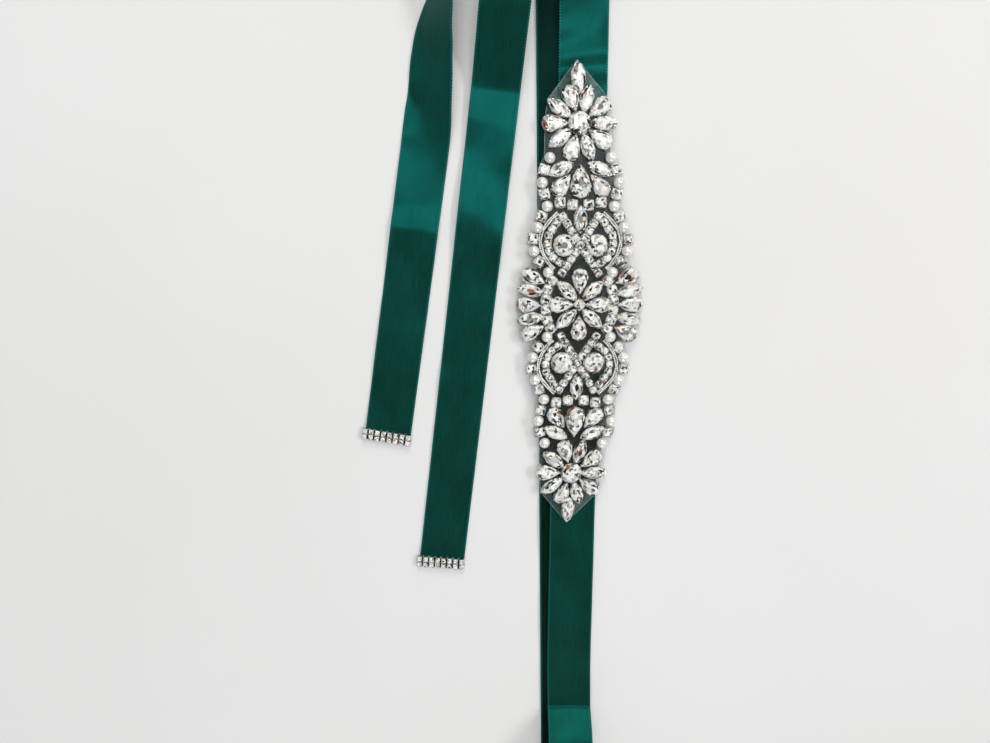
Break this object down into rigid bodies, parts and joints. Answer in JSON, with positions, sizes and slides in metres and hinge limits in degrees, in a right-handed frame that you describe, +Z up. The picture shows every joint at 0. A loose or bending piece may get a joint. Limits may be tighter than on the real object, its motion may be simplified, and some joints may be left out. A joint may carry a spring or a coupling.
{
  "type": "sash belt",
  "caption": "Narrow satin ribbon sash laid in folds, with a long crystal and pearl applique on its middle and stone-set tips on its ends.",
  "frame": {"origin": "on the table, on the underside of the back ribbon, beneath the middle of the applique", "axes": "+Y along the ribbon from the bottom loop to the top loop, +X to the right of the layout as seen from above, +Z up from the table"},
  "size_m": [0.1534, 0.6338, 0.0271],
  "materials": {
    "satin": "double-face polyester satin, dark teal, with a soft sheen along the ribbon",
    "applique": "clear stones with foil backs in silver settings, and ivory pearls, on a clear film",
    "tip_trim": "clear stones in silver cups"
  },
  "bodies": {
    "root": {"ribbon_front": "satin", "ribbon_back": "satin", "ribbon_bottom_loop": "satin", "ribbon_top_loop": "satin", "ribbon_tail_long": "satin", "ribbon_tail_short": "satin", "ribbon_folds": "satin", "applique": "applique", "tip_long": "tip_trim", "tip_short": "tip_trim"}
  },
  "joints": []
}
